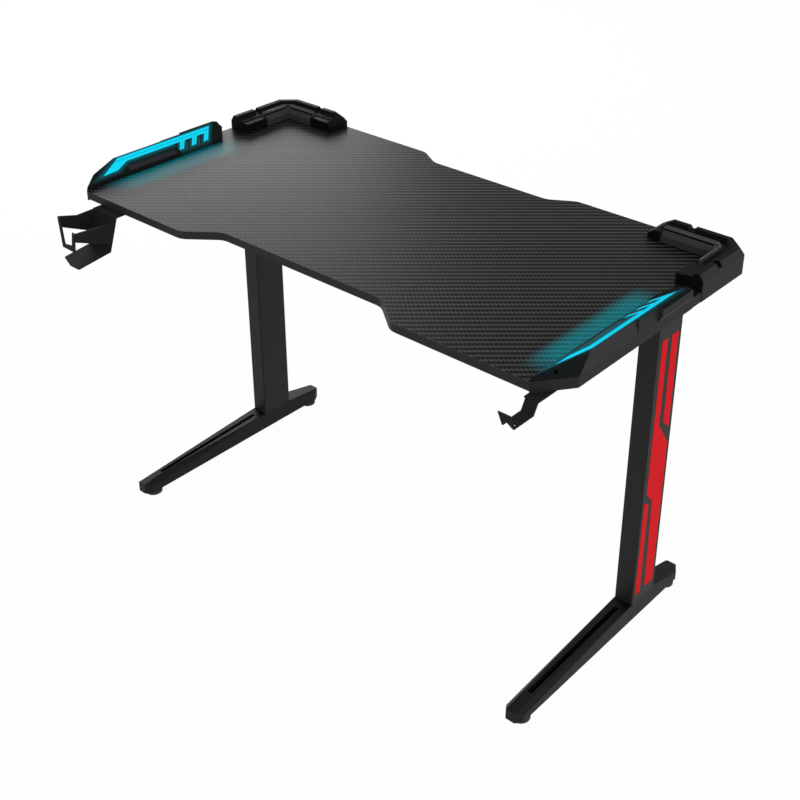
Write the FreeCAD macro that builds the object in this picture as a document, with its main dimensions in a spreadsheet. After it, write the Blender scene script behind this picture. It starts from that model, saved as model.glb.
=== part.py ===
"""Gaming desk with two T-shaped steel legs, a carbon-look top, light bars and corner guards.

Every piece is laid out from the middle of the board at floor level: X runs along the
length (right is plus), minus Y is the user's side, Z is up.  The last step moves each
piece back by the same amount, so that the origin lies under the middle of the whole desk.
Right-hand pieces are drawn and left-hand ones are their mirror images.
"""
import FreeCAD, Part
import os
import re

import Sketcher

Vector = FreeCAD.Vector
doc = FreeCAD.newDocument("gaming_desk")

# Driving dimensions in millimetres; names ending in share or shares are proportions.
driving = dict(
    overall_length=1200, depth=600, top_height=750, board_thick=16,
    laminate_thick=0.8, band_thick=1,
    # knee notch in the front edge, cable notch in the back edge
    notch_mouth=524, notch_run=64, notch_depth=50, notch_round=35,
    cable_mouth=390, cable_run=51, cable_depth=31, cable_offset=20,
    # cut corners and the skirt of the mouldings that hides the side edge
    corner_wide=47, corner_deep=63.4, rear_wide=36, rear_deep=33,
    skirt_wall=3, skirt_drop=20,
    # light bar: wedge with a cut nose and a raised outer plate in two steps
    bar_gap=28, bar_end_skew=41, riser_height=7.4, ridge_height=29, ridge_inset=6, ridge_start=100,
    step_back=171.6, raise_back=113.7, raise_end_back=19, step_out=5, ridge_overhang=8,
    raise_drop=2.5, raise_skirt=12, end_height=14, tail_inset=1, tail_gap=0.5,
    # light guide, drawn on the inner slope: along from the front edge, back from the bar's
    # rear end, up from the riser
    guide_thick=3, guide_tip_along=50.5, guide_tip_up=11.9, guide_shoulder_along=108,
    guide_top_up=42.5, guide_rear_back=45, guide_low_up=28.5, guide_low_along=121.3,
    guide_nose_along=88, guide_nose_up=13.7, tooth_back=153, tooth_pitch=33.4,
    tooth_wide=12, tooth_up=9, tooth_lean_share=0.87,
    recess_thick=1, recess_up=3, recess_wide=16, recess_along=112, recess_gap=9,
    # light strip and button
    strip_wide=8, strip_thick=1.2, chip_size=5, chip_high=1.1, chip_pitch=22,
    button_along=41.6, button_rise=11.9, nose_lean_share=0.177, nose_break=54,
    button_radius=2.8, button_slack=0.5, button_long=4.5, button_proud=0.7,
    switch_size=4, switch_high=2, hole_deep=7.2,
    # corner guard section: in from the skirt face, up from the board
    guard_side=176, guard_reach=186, guard_edge_rise=18, guard_top_rise=30,
    guard_top_from=8, guard_top_to=18, groove_from=22, groove_rise=22,
    trim_from=37, trim_rise=29, trim_middle=46, trim_middle_rise=24.5, trim_to=54,
    trim_edge_rise=13, trim_gap=3, block_rise=20, end_slope=28, end_rise=12,
    # low blocks at the ends of the guard's arms and the gaps in its ridge
    side_block=56, notch_gap=12, right_block=25, left_block=61, ridge_gap_along=64, ridge_gap=12,
    # legs
    leg_inset=74, leg_from_back=167, column_wide=40, column_deep=80, column_wall=2,
    column_round=3, foot_front_inset=30, foot_rear_inset=23, foot_clear=12, foot_top=52,
    foot_front_top=36, foot_rear_top=35, foot_front_flat=19, foot_rear_flat=24,
    foot_bevel=10, foot_wall=2, foot_corner_wide=10, foot_corner_deep=15,
    slot_wide=3.5, slot_inset=56, slot_gap=20, foot_end_deep=18,
    # levellers
    pad_radius=19, pad_high=9, stud_radius=4, stud_slack=0.4, stud_rise=20,
    hex_radius=7.5, nut_high=6.5, pad_front_inset=32, pad_rear_inset=25,
    # plates, beam and fasteners under the top
    bracket_wide=80, bracket_long_share=0.7, bracket_thick=4, bracket_from_leg=93, bracket_round=9,
    bracket_side_share=0.38, bracket_end_share=0.45,
    beam_deep=25, beam_high=60, beam_wall=2, beam_drop=14, flange_wide=50, flange_thick=4,
    plate_thick=6, bolt_radius=3, bolt_head_radius=5.5, bolt_head=4, bolt_long=14, bolt_spread=50,
    bolt_side=18.5, bolt_slack=0.3, access_radius=7, bite_share=0.85,
    screw_radius=2, screw_head_radius=4, screw_head=2.5, screw_long=16, screw_slack=0.3,
    # cup holder
    cup_inset=161, cup_wide=70, cup_sheet=3, cup_tail=38, cup_lip=20, cup_lean=22,
    cup_plate_drop=65, cup_tongue=74, cup_tongue_drop=9, tongue_wide=61,
    tongue_cut_wide=34, tongue_cut_deep=12, arm_drop=2, arm_reach=114, near_front_high=18,
    near_root_drop=8, near_root_high=50, far_arm_reach=94, far_arm_lift=7, far_front_high=23,
    far_root_drop=6.5, far_root_high=49, far_dip=9, far_dip_share=0.5,
    cup_ring_wide=79, strap_wide=10, strap_drop=42, strap_slope=10, strap_sink=12,
    # headphone hook
    hook_from_side=49, hook_flange=27, hook_wide=23, hook_inset=3, hook_pad=13, hook_pad_deep=16,
    hook_sheet=2.5, hook_tail=38, hook_front=10, hook_lean=11, hook_drop=16.5, hook_reach=44,
    hook_lip_out=12, hook_lip=27, hook_cut_wide=14, hook_cut_high=9,
    # vinyl stripes on the outer face of each column; shares are of the column's top height
    stripe_thick=0.3, stripe_top_share=0.8781, stripe_in=14, stripe_wide=18, second_in=46,
    second_wide=22, second_foot_share=0.5986, second_slant=21, block_top_share=0.6247,
    block_slope=53, block_foot_share=0.426, block_slant=26, main_foot_rise=23, main_in=36,
    main_wide=34, main_taper=5, third_in=8, third_wide=16, third_top_share=0.4,
    third_slant=8, third_foot_rise=21,
    # places of the screws that come up through the board
    bar_screw_inset=27, bar_screw_front=150, bar_screw_back=69, guard_screw_along=40,
    guard_screw_back=150, moulding_screw_bite=9, cup_screw_back=19, near_share=0.25,
    far_share=0.75, hook_screw_back=30,
    # how far a cut runs past what it cuts
    overrun=20, short_overrun=5,
)
sheet = doc.addObject("Spreadsheet::Sheet", "Sizes")
for row, (word, number) in enumerate(driving.items(), 1):
    sheet.set("A%d" % row, word)
    sheet.set("B%d" % row, str(number))
    sheet.setAlias("B%d" % row, word)
doc.recompute()

# Values worked out from the driving ones, in the same frame.
derived = dict(
    half_depth="depth / 2",
    skirt_half="overall_length / 2 - ridge_overhang",
    board_half="skirt_half - skirt_wall",
    board_bottom="top_height - board_thick",
    skirt_bottom="top_height - skirt_drop",
    bar_inner="skirt_half - corner_wide",
    back_face="half_depth + skirt_wall",
    ridge_x="skirt_half - ridge_inset",
    ridge_z="top_height + ridge_height",
    riser_z="top_height + riser_height",
    slope="atan((ridge_height - riser_height) / (ridge_x - bar_inner)) / 1 deg",
    turn="-atan(corner_wide / corner_deep) / 1 deg",
    corner_run="sqrt(corner_wide * corner_wide + corner_deep * corner_deep)",
    tilt="90 - atan(nose_lean_share) / 1 deg",
    corner_shift="skirt_wall * corner_run / corner_wide",
    rear_run="sqrt(rear_wide * rear_wide + rear_deep * rear_deep)",
    rear_shift="skirt_wall * rear_run / rear_wide",
    core_front="0 - half_depth + band_thick",
    core_back="half_depth - band_thick",
    rear_corner="skirt_half - rear_wide - (core_back - back_face + rear_shift) * rear_wide / rear_deep",
    rear_side="back_face - rear_deep - rear_shift + skirt_wall * rear_deep / rear_wide",
    front_side="0 - half_depth + corner_shift + (board_half - bar_inner) * corner_deep / corner_wide",
    guard_start="depth + skirt_wall - guard_side",
    bar_length="guard_start - bar_gap",
    bar_rear="bar_length - half_depth",
    step_along="bar_length - step_back",
    raise_along="bar_length - raise_back",
    raise_end="bar_length - raise_end_back",
    guide_rear_along="bar_length - guide_rear_back",
    tooth_along="bar_length - tooth_back",
    recess_end="tooth_along - recess_gap",
    bar_screw="skirt_half - bar_screw_inset",
    cup_screw="cup_screw_back - half_depth",
    hook_screw="hook_screw_back - half_depth",
    leg_centre="skirt_half - leg_inset",
    leg_back="half_depth - leg_from_back",
    foot_front="half_depth - foot_front_inset",
    foot_rear="half_depth - foot_rear_inset",
    pad_front="foot_front - pad_front_inset",
    pad_rear="foot_rear - pad_rear_inset",
    bracket_long="depth * bracket_long_share",
    bracket_back="leg_back - bracket_from_leg",
    column_in="leg_centre - column_wide / 2",
    column_out="leg_centre + column_wide / 2",
    column_front="leg_back - column_deep / 2",
    column_rear="leg_back + column_deep / 2",
    column_top="board_bottom - bracket_thick",
    beam_top="column_top - beam_drop",
    beam_bottom="beam_top - beam_high",
    foot_half="column_wide / 2",
    cup_right="skirt_half - cup_inset",
    cup_left="cup_right + cup_wide",
    cup_under="board_bottom - cup_sheet",
    cup_bend="half_depth + cup_lip",
    cup_foot="cup_bend + cup_lean",
    cup_end="cup_foot + cup_tongue",
    cup_low="cup_under - cup_plate_drop",
    ring_front="half_depth + arm_reach",
    ring_left="cup_right + cup_ring_wide",
    cup_front="max(cup_end; ring_front + cup_sheet)",
    arm_skew="arm_reach - far_arm_reach",
    strap_long="sqrt(cup_ring_wide * cup_ring_wide + arm_skew * arm_skew)",
    strap_turn="0 - atan(arm_skew / cup_ring_wide) / 1 deg",
    arm_top="board_bottom - arm_drop",
    near_foot="arm_top - near_root_high",
    far_top="arm_top + far_arm_lift",
    far_foot="far_top - far_root_high",
    far_run="far_arm_reach - cup_lip",
    far_turn="0 - atan((cup_ring_wide - cup_wide) / far_run) / 1 deg",
    cup_rake="cup_lean / (board_bottom - cup_low)",
    hook_under="skirt_bottom - hook_sheet",
    hook_floor="hook_under - hook_drop",
    hook_bend="half_depth + hook_front",
    hook_foot="hook_bend + hook_lean",
    hook_end="hook_foot + hook_reach",
    hook_left="skirt_half - hook_from_side",
    hook_side="hook_left + hook_inset",
    middle_shift="(cup_front - back_face) / 2",
)
places = doc.addObject("App::VarSet", "Places")


def formula(text):
    """Put the owner's name before each dimension word in the text."""
    def owned(match):
        word = match.group(0)
        owner = "Sizes." if word in driving else "Places." if word in derived else ""
        return owner + word
    return re.sub(r"[a-z_]+", owned, text)


for word, text in derived.items():
    places.addProperty("App::PropertyFloat", word)
    places.setExpression(word, formula(text))
    doc.recompute()


def value(text):
    """The number that a formula has now."""
    return float(sheet.evalExpression(formula(text)))


def bind(item, **formulas):
    """Bind properties of an object to formulas."""
    for name, text in formulas.items():
        item.setExpression(name.replace("__", "."), formula(text))


def settle(item, x="0", y="0", z="0"):
    """Set an object in the shared frame."""
    item.setExpression(".Placement.Base.x", formula(x))
    item.setExpression(".Placement.Base.y", formula(y + " + middle_shift"))
    item.setExpression(".Placement.Base.z", formula(z))


def seat(item, label, x="0", y="0", z="0"):
    """Name a finished piece and set it in the shared frame."""
    item.Label = label
    settle(item, x, y, z)
    pieces[label] = item


pieces = {}
hair = 1e-3


def new_body(name):
    return doc.addObject("PartDesign::Body", name + "_body")


def sketch(body, plane, loops, base=("0", "0", "0"), axis=None, angle=None, at=None):
    """Closed outlines and circles on one of the body's planes, every point bound."""
    item = body.newObject("Sketcher::SketchObject", body.Name + "_outline")
    face = [one for one in body.Origin.OriginFeatures if one.Role == plane][0]
    item.AttachmentSupport = [(face, "")]
    item.MapMode = "FlatFace"
    if axis is not None:
        item.AttachmentOffset = FreeCAD.Placement(Vector(), FreeCAD.Rotation(axis, value(angle)))
        item.setExpression("AttachmentOffset.Rotation.Angle", formula(angle))
    if at is not None:
        item.AttachmentOffset = at
    else:
        for letter, text in zip("xyz", base):
            item.setExpression("AttachmentOffset.Base." + letter, formula(text))

    def hold(kind, geometry, point, text):
        spot = item.addConstraint(Sketcher.Constraint(kind, -1, 1, geometry, point, value(text)))
        item.setExpression("Constraints[%d]" % spot, formula(text))

    for loop in loops:
        if isinstance(loop, tuple):
            centre_x, centre_y, radius = loop
            middle = Vector(value(centre_x), value(centre_y), 0)
            round_line = item.addGeometry(Part.Circle(middle, Vector(0, 0, 1), value(radius)), False)
            hold("DistanceX", round_line, 3, centre_x)
            hold("DistanceY", round_line, 3, centre_y)
            spot = item.addConstraint(Sketcher.Constraint("Radius", round_line, value(radius)))
            item.setExpression("Constraints[%d]" % spot, formula(radius))
            continue
        corners = [Vector(value(x), value(y), 0) for x, y in loop]
        first = len(item.Geometry)
        for spot, corner in enumerate(corners):
            following = corners[(spot + 1) % len(corners)]
            item.addGeometry(Part.LineSegment(corner, following), False)
        for spot in range(len(corners)):
            following = first + (spot + 1) % len(corners)
            item.addConstraint(Sketcher.Constraint("Coincident", first + spot, 2, following, 1))
        for spot, (x, y) in enumerate(loop):
            hold("DistanceX", first + spot, 1, x)
            hold("DistanceY", first + spot, 1, y)
    doc.recompute()
    return item


def grow(body, profile, length, back=False, both=False):
    """Add material along the sketch's normal, against it or to both sides."""
    item = body.newObject("PartDesign::Pad", body.Name + "_pad")
    item.Profile = profile
    item.Reversed = back
    item.Midplane = both
    bind(item, Length=length)
    doc.recompute()
    return item


def carve(body, profile, length, back=False, both=False):
    """Take material away against the sketch's normal, along it or to both sides."""
    item = body.newObject("PartDesign::Pocket", body.Name + "_pocket")
    item.Profile = profile
    item.Reversed = back
    item.Midplane = both
    bind(item, Length=length)
    doc.recompute()
    return item


def round_upright(body, radius, spots):
    """Round the upright edges that stand at the given places."""
    wanted = [(value(x), value(y)) for x, y in spots]
    tip = body.Tip
    names = []
    for number, edge in enumerate(tip.Shape.Edges, 1):
        extent, corner = edge.BoundBox, edge.Vertexes[0]
        near = [one for one in wanted if abs(corner.X - one[0]) + abs(corner.Y - one[1]) < hair]
        if near and extent.XLength + extent.YLength < hair:
            names.append("Edge%d" % number)
    item = body.newObject("PartDesign::Fillet", body.Name + "_round")
    item.Base = (tip, names)
    bind(item, Radius=radius)
    doc.recompute()
    return item


def mirror_image(source, label):
    """Left-hand twin of a right-hand piece."""
    item = doc.addObject("Part::Mirroring", label + "_twin")
    item.Source = source
    item.Normal = Vector(1, 0, 0)
    item.Label = label
    pieces[label] = item
    return item


def box_loop(x_low, x_high, y_low, y_high):
    return [(x_low, y_low), (x_high, y_low), (x_high, y_high), (x_low, y_high)]


def group(label, source, spots, mirrored=False):
    """Separate copies of one fastener, kept as one piece."""
    copies = []
    for x, y, z in spots:
        at = Vector(value(x), value(y + " + middle_shift"), value(z))
        copies.append(source.Shape.translated(at))
        if mirrored:
            copies.append(copies[-1].mirror(Vector(), Vector(1, 0, 0)))
    item = doc.addObject("Part::Feature", label)
    item.Shape = Part.makeCompound(copies)
    item.Label = label
    pieces[label] = item
    return item


half_share = "1 / 2"
root_two_share = "sqrt(2) / 2"
root_three_share = "sqrt(3) / 2"


def prism_loop(turns, x, y, radius):
    corners = []
    for across, up in turns:
        corners.append(("%s + %s * (%s)" % (x, across, radius), "%s + %s * (%s)" % (y, up, radius)))
    return corners


def octagon(x, y, radius):
    """Small screw shanks and the holes for them have eight flats."""
    near, far = root_two_share, "-" + root_two_share
    turns = [("1", "0"), (near, near), ("0", "1"), (far, near),
             ("-1", "0"), (far, far), ("0", "-1"), (near, far)]
    return prism_loop(turns, x, y, radius)


def hexagon(radius, x="0", y="0"):
    near, far = root_three_share, "-" + root_three_share
    turns = [("1", "0"), (half_share, near), ("-" + half_share, near),
             ("-1", "0"), ("-" + half_share, far), (half_share, far)]
    return prism_loop(turns, x, y, radius)


def screw_holes(spots):
    return [octagon(x, y, "screw_radius + screw_slack") for x, y in spots]


def bolt_holes(spots):
    return [octagon(x, y, "bolt_radius + bolt_slack") for x, y in spots]


# Fastener places on the right-hand side, as formulas for X and Y.
bracket_spots = [("leg_centre %s bracket_wide * bracket_side_share" % side,
                  "bracket_back %s bracket_long * bracket_end_share" % end)
                 for side in "+-" for end in "+-"]
moulding_spots = [("bar_screw", "bar_screw_front - half_depth"), ("bar_screw", "bar_rear - bar_screw_back"),
                  ("bar_screw", "guard_start + guard_screw_along - half_depth"),
                  ("skirt_half - guard_screw_back", "back_face - bar_screw_inset")]
cup_spots = [("0 - cup_right - cup_wide * %s" % share, "cup_screw") for share in ("near_share", "far_share")]
hook_spots = [("hook_left + hook_pad / 2", "hook_screw")]


def board_front(y):
    """Front line of the board from left to right at the given depth."""
    deep = y + " + notch_depth"
    floor = "(notch_mouth / 2 - notch_run)"
    return [("0 - bar_inner", y), ("0 - notch_mouth / 2", y), ("0 - " + floor, deep),
            (floor, deep), ("notch_mouth / 2", y), ("bar_inner", y)]


def board_back(y, end="rear_corner"):
    """Back line of the board from right to left at the given depth."""
    deep = y + " - cable_depth"
    floor = "(cable_mouth / 2 - cable_run)"
    return [(end, y), ("cable_offset + cable_mouth / 2", y), ("cable_offset + " + floor, deep),
            ("cable_offset - " + floor, deep), ("cable_offset - cable_mouth / 2", y),
            ("0 - (%s)" % end, y)]


def both_sides(spots):
    return spots + [("0 - (%s)" % x, y) for x, y in spots]


# Board: chipboard core, carbon-look sheet and edging on the two long edges.
side_line = [("bar_inner", "corner_shift - half_depth"), ("board_half", "front_side"),
             ("board_half", "rear_side")]
other_side = [("0 - (%s)" % x, y) for x, y in reversed(side_line)]
board_loop = board_front("core_front") + side_line + board_back("core_back") + other_side
through_holes = screw_holes(both_sides(moulding_spots))
blind_spots = both_sides(bracket_spots) + cup_spots + hook_spots
for label, low, thick in (("desktop_core", "board_bottom", "board_thick - laminate_thick"),
                          ("carbon_laminate", "top_height - laminate_thick", "laminate_thick")):
    board = new_body(label)
    grow(board, sketch(board, "XY_Plane", [board_loop], ("0", "0", low)), thick)
    round_upright(board, "notch_round", board_front("core_front")[1:5] + board_back("core_back")[1:5])
    carve(board, sketch(board, "XY_Plane", through_holes, ("0", "0", low)), "board_thick", back=True)
    if label == "desktop_core":
        blind_sketch = sketch(board, "XY_Plane", screw_holes(blind_spots), ("0", "0", low))
        carve(board, blind_sketch, "screw_long - screw_head", back=True)
    seat(board, label)

for label, line, outer, inner in (("front_edge_band", board_front, "0 - half_depth", "core_front"),
                                  ("rear_edge_band", board_back, "half_depth", "core_back")):
    band = new_body(label)
    ends = [] if line is board_front else ["rear_corner - skirt_wall"]
    band_loop = line(outer, *ends) + list(reversed(line(inner, *ends)))
    grow(band, sketch(band, "XY_Plane", [band_loop], ("0", "0", "board_bottom")), "board_thick")
    round_upright(band, "notch_round", line(outer)[1:5] + line(inner)[1:5])
    seat(band, label)

# Light bar: a wedge drawn across the bar and pulled along it, two outer plates, a cut nose.
upright = Vector(0, 1, 0)
housing = new_body("light_bar_housing")
wedge = [("bar_inner", "top_height"), ("bar_inner", "riser_z"), ("ridge_x", "ridge_z"),
         ("skirt_half", "top_height"), ("skirt_half", "skirt_bottom"), ("board_half", "skirt_bottom"),
         ("board_half", "top_height")]
grow(housing, sketch(housing, "XZ_Plane", [wedge], ("0", "0", "0 - bar_rear")), "bar_length")
for along, stop, out, drop in (("step_along", "raise_along", "ridge_inset", "raise_drop / 2"),
                               ("raise_along", "raise_end", "ridge_inset + ridge_overhang", "raise_drop")):
    plate = [("ridge_x", "ridge_z"), ("ridge_x + " + out, "ridge_z - " + drop),
             ("ridge_x + " + out, "top_height + raise_skirt"), ("skirt_half", "top_height")]
    if out == "ridge_inset":
        plate = [("ridge_x", "ridge_z"), ("ridge_x + step_out", "ridge_z - " + drop),
                 ("skirt_half", "top_height")]
    grow(housing, sketch(housing, "XZ_Plane", [plate], ("0", "0", "half_depth - " + stop)),
         "%s - %s" % (stop, along))
corner_wall = [("bar_inner", "0 - half_depth"), ("skirt_half", "corner_deep - half_depth"),
               ("board_half", "front_side"), ("bar_inner", "corner_shift - half_depth")]
grow(housing, sketch(housing, "XY_Plane", [corner_wall], ("0", "0", "skirt_bottom")), "skirt_drop")
slant = FreeCAD.Rotation(value("turn"), value("tilt"), 0)
nose_out = FreeCAD.Rotation(value("turn"), 0, 0).multVec(Vector(1, 0, 0))
nose_run = FreeCAD.Rotation(value("turn"), 0, 0).multVec(Vector(0, 1, 0))
nose_tip = Vector(value("bar_inner"), value("0 - half_depth"), value("top_height"))


def nose_point(along, rise):
    """A place on the leaning front face of the nose."""
    height = value(rise)
    set_back = nose_out * (height * value("nose_lean_share"))
    return nose_tip + nose_run * value(along) - set_back + Vector(0, 0, height)


def slice_off(body, corner, second, third):
    """Cut away what lies outside the plane through three places seen anticlockwise."""
    outward = (second - corner).cross(third - corner)
    plane = FreeCAD.Placement(corner, FreeCAD.Rotation(Vector(0, 0, 1), outward))
    whole = box_loop("0 - depth", "depth", "0 - depth", "depth")
    carve(body, sketch(body, "XY_Plane", [whole], at=plane), "depth", back=True)


# The nose: an upright cut in line with the board's corner, a leaning face with the button,
# and a facet up to the ridge.
skirt_corner = nose_point("corner_run", "0")
ridge_front = Vector(value("ridge_x"), value("ridge_start - half_depth"), value("ridge_z"))
slice_off(housing, nose_tip, skirt_corner, skirt_corner + Vector(0, 0, value("ridge_height")))
slice_off(housing, nose_tip, skirt_corner, nose_point("button_along", "button_rise"))
slice_off(housing, skirt_corner, ridge_front, nose_point("nose_break", "button_rise"))
lowered = box_loop("raise_end - half_depth", "bar_rear + overrun",
                   "top_height + end_height", "ridge_z + overrun")
lowered_sketch = sketch(housing, "YZ_Plane", [lowered], ("0", "0", "bar_inner"))
carve(housing, lowered_sketch, "corner_wide + overrun", back=True)

# The rear end is cut back towards the inner side, and only the skirt runs on to the guard.
outer_end = Vector(value("skirt_half"), value("bar_rear"), value("top_height"))
inner_end = Vector(value("bar_inner"), value("bar_rear - bar_end_skew"), value("top_height"))
slice_off(housing, outer_end, inner_end, outer_end + Vector(0, 0, value("ridge_height")))
tail = box_loop("board_half", "skirt_half - tail_inset", "bar_rear - short_overrun",
                "guard_start - half_depth - tail_gap")
grow(housing, sketch(housing, "XY_Plane", [tail], ("0", "0", "skirt_bottom")), "skirt_drop")

# Light guide outline on the inner slope, from the tip round the band and its slanted teeth.
guide_base = ("bar_inner", "0", "riser_z")
guide_loop = [("guide_tip_up", "guide_tip_along - half_depth"),
              ("guide_nose_up", "guide_nose_along - half_depth"),
              ("guide_low_up", "guide_low_along - half_depth")]
lean = "(guide_low_up - tooth_up) * tooth_lean_share"
for tooth in ("0", "1", "2"):
    start = "tooth_along + tooth_pitch * %s - half_depth" % tooth
    guide_loop += [("guide_low_up", "%s + %s" % (start, lean)), ("tooth_up", start),
                   ("tooth_up", start + " + tooth_wide"),
                   ("guide_low_up", "%s + tooth_wide + %s" % (start, lean))]
guide_loop += [("guide_top_up", "guide_rear_along - half_depth"),
               ("guide_top_up", "guide_shoulder_along - half_depth")]
carve(housing, sketch(housing, "XY_Plane", [guide_loop], guide_base, upright, "0 - slope"), "guide_thick")
strip_low = "(guide_top_up + guide_low_up - strip_wide) / 2"
strip_loop = box_loop(strip_low, strip_low + " + strip_wide", "guide_low_along - half_depth",
                      "guide_rear_along - half_depth - strip_wide * 2")
carve(housing, sketch(housing, "XY_Plane", [strip_loop], guide_base, upright, "0 - slope"),
      "guide_thick + strip_thick + chip_high")
dish = box_loop("recess_up", "recess_up + recess_wide",
                "recess_along - half_depth", "recess_end - half_depth")
carve(housing, sketch(housing, "XY_Plane", [dish], guide_base, upright, "0 - slope"), "recess_thick")

# Button hole and screw holes in the bar.
button_spot = nose_point("button_along", "button_rise")
carve(housing, sketch(housing, "XY_Plane", [("0", "0", "button_radius + button_slack")],
                      at=FreeCAD.Placement(button_spot, slant)), "hole_deep")
bar_bores = sketch(housing, "XY_Plane", screw_holes(moulding_spots[:2]), ("0", "0", "top_height"))
carve(housing, bar_bores, "moulding_screw_bite", back=True)
seat(housing, "light_bar_housing_right")
mirror_image(housing, "light_bar_housing_left")

# Light guide and the light strip behind it, both lying on the slope.
incline = FreeCAD.Placement(Vector(), FreeCAD.Rotation(upright, value("0 - slope")))
guide = new_body("light_guide")
grow(guide, sketch(guide, "XY_Plane", [guide_loop]), "guide_thick", back=True)
strip = new_body("light_strip")
strip_base = ("0", "0", "0 - guide_thick - chip_high")
grow(strip, sketch(strip, "XY_Plane", [strip_loop], strip_base), "strip_thick", back=True)
chip_low = "(guide_top_up + guide_low_up - chip_size) / 2"
chip_loop = box_loop(chip_low, chip_low + " + chip_size", "guide_low_along + chip_size - half_depth",
                     "guide_low_along + chip_size * 2 - half_depth")
chip = grow(strip, sketch(strip, "XY_Plane", [chip_loop], strip_base), "chip_high")
row_of_chips = strip.newObject("PartDesign::LinearPattern", "row_of_chips")
row_of_chips.Originals = [chip]
row_of_chips.Direction = ([one for one in strip.Origin.OriginFeatures if one.Role == "Y_Axis"][0], [""])
chip_run = value("guide_rear_along - guide_low_along - strip_wide * 4")
row_of_chips.Occurrences = int(chip_run // value("chip_pitch"))
bind(row_of_chips, Length="chip_pitch * %d" % (row_of_chips.Occurrences - 1))
strip.Tip = row_of_chips
doc.recompute()
for item, label in ((guide, "light_guide"), (strip, "light_strip")):
    item.Placement = incline
    seat(item, label + "_right", "bar_inner", "0", "riser_z")
    mirror_image(item, label + "_left")

# Light button and the switch at the bottom of its hole, square to the nose.
button = new_body("light_button")
button_face = sketch(button, "XY_Plane", [("0", "0", "button_radius")], ("0", "0", "button_proud"))
grow(button, button_face, "button_long", back=True)
switch = new_body("light_switch")
half_switch = "switch_size / 2"
switch_face = box_loop("0 - " + half_switch, half_switch, "0 - " + half_switch, half_switch)
grow(switch, sketch(switch, "XY_Plane", [switch_face], ("0", "0", "0 - hole_deep")), "switch_high")
for item, label in ((button, "light_button"), (switch, "light_switch")):
    item.Placement = FreeCAD.Placement(button_spot + Vector(0, value("middle_shift"), 0), slant)
    item.Label = label + "_right"
    pieces[item.Label] = item
    mirror_image(item, label + "_left")

# Corner guard and its inner trim: one section each, led round the corner.
def swept(name, section, path):
    body = new_body(name)
    lead = body.newObject("Sketcher::SketchObject", name + "_path")
    ground = [one for one in body.Origin.OriginFeatures if one.Role == "XY_Plane"][0]
    lead.AttachmentSupport = [(ground, "")]
    lead.MapMode = "FlatFace"
    spots = [Vector(value(x), value(y), 0) for x, y in path]
    for number in range(len(spots) - 1):
        lead.addGeometry(Part.LineSegment(spots[number], spots[number + 1]), False)
    for number in range(len(spots) - 2):
        lead.addConstraint(Sketcher.Constraint("Coincident", number, 2, number + 1, 1))
    for number, (x, y) in enumerate(path):
        line, end = (number, 1) if number < len(spots) - 1 else (number - 1, 2)
        for kind, text in (("DistanceX", x), ("DistanceY", y)):
            spot = lead.addConstraint(Sketcher.Constraint(kind, -1, 1, line, end, value(text)))
            lead.setExpression("Constraints[%d]" % spot, formula(text))
    pipe = body.newObject("PartDesign::AdditivePipe", name + "_pipe")
    pipe.Profile = sketch(body, "XZ_Plane", [section], ("0", "0", "0 - (%s)" % path[0][1]))
    pipe.Spine = (lead, ["Edge%d" % (number + 1) for number in range(len(spots) - 1)])
    pipe.Transition = "Right corner"
    doc.recompute()
    return body


def from_face(points):
    """Section points given as distance in from the skirt face and height over the board."""
    return [("skirt_half - " + inward, "top_height + " + rise) for inward, rise in points]


corner_path = [("skirt_half", "back_face - rear_deep"), ("skirt_half - rear_wide", "back_face")]
guard_path = [("skirt_half", "guard_start - half_depth")] + corner_path
guard_path += [("skirt_half - guard_reach", "back_face")]
guard_section = from_face([("skirt_wall", "(0 - skirt_drop)"), ("0", "(0 - skirt_drop)"),
                           ("0", "guard_edge_rise"), ("guard_top_from", "guard_top_rise"),
                           ("guard_top_to", "guard_top_rise"),
                           ("groove_from", "groove_rise"), ("trim_from", "groove_rise"), ("trim_from", "0"),
                           ("skirt_wall", "0")])
trim_section = from_face([("trim_from", "0"), ("trim_from", "trim_rise"), ("trim_middle", "trim_middle_rise"),
                          ("trim_to", "trim_edge_rise"), ("trim_to", "0")])
side_low = "guard_start - half_depth"
back_end = "skirt_half - guard_reach"
crest = "top_height + guard_top_rise"


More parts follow.
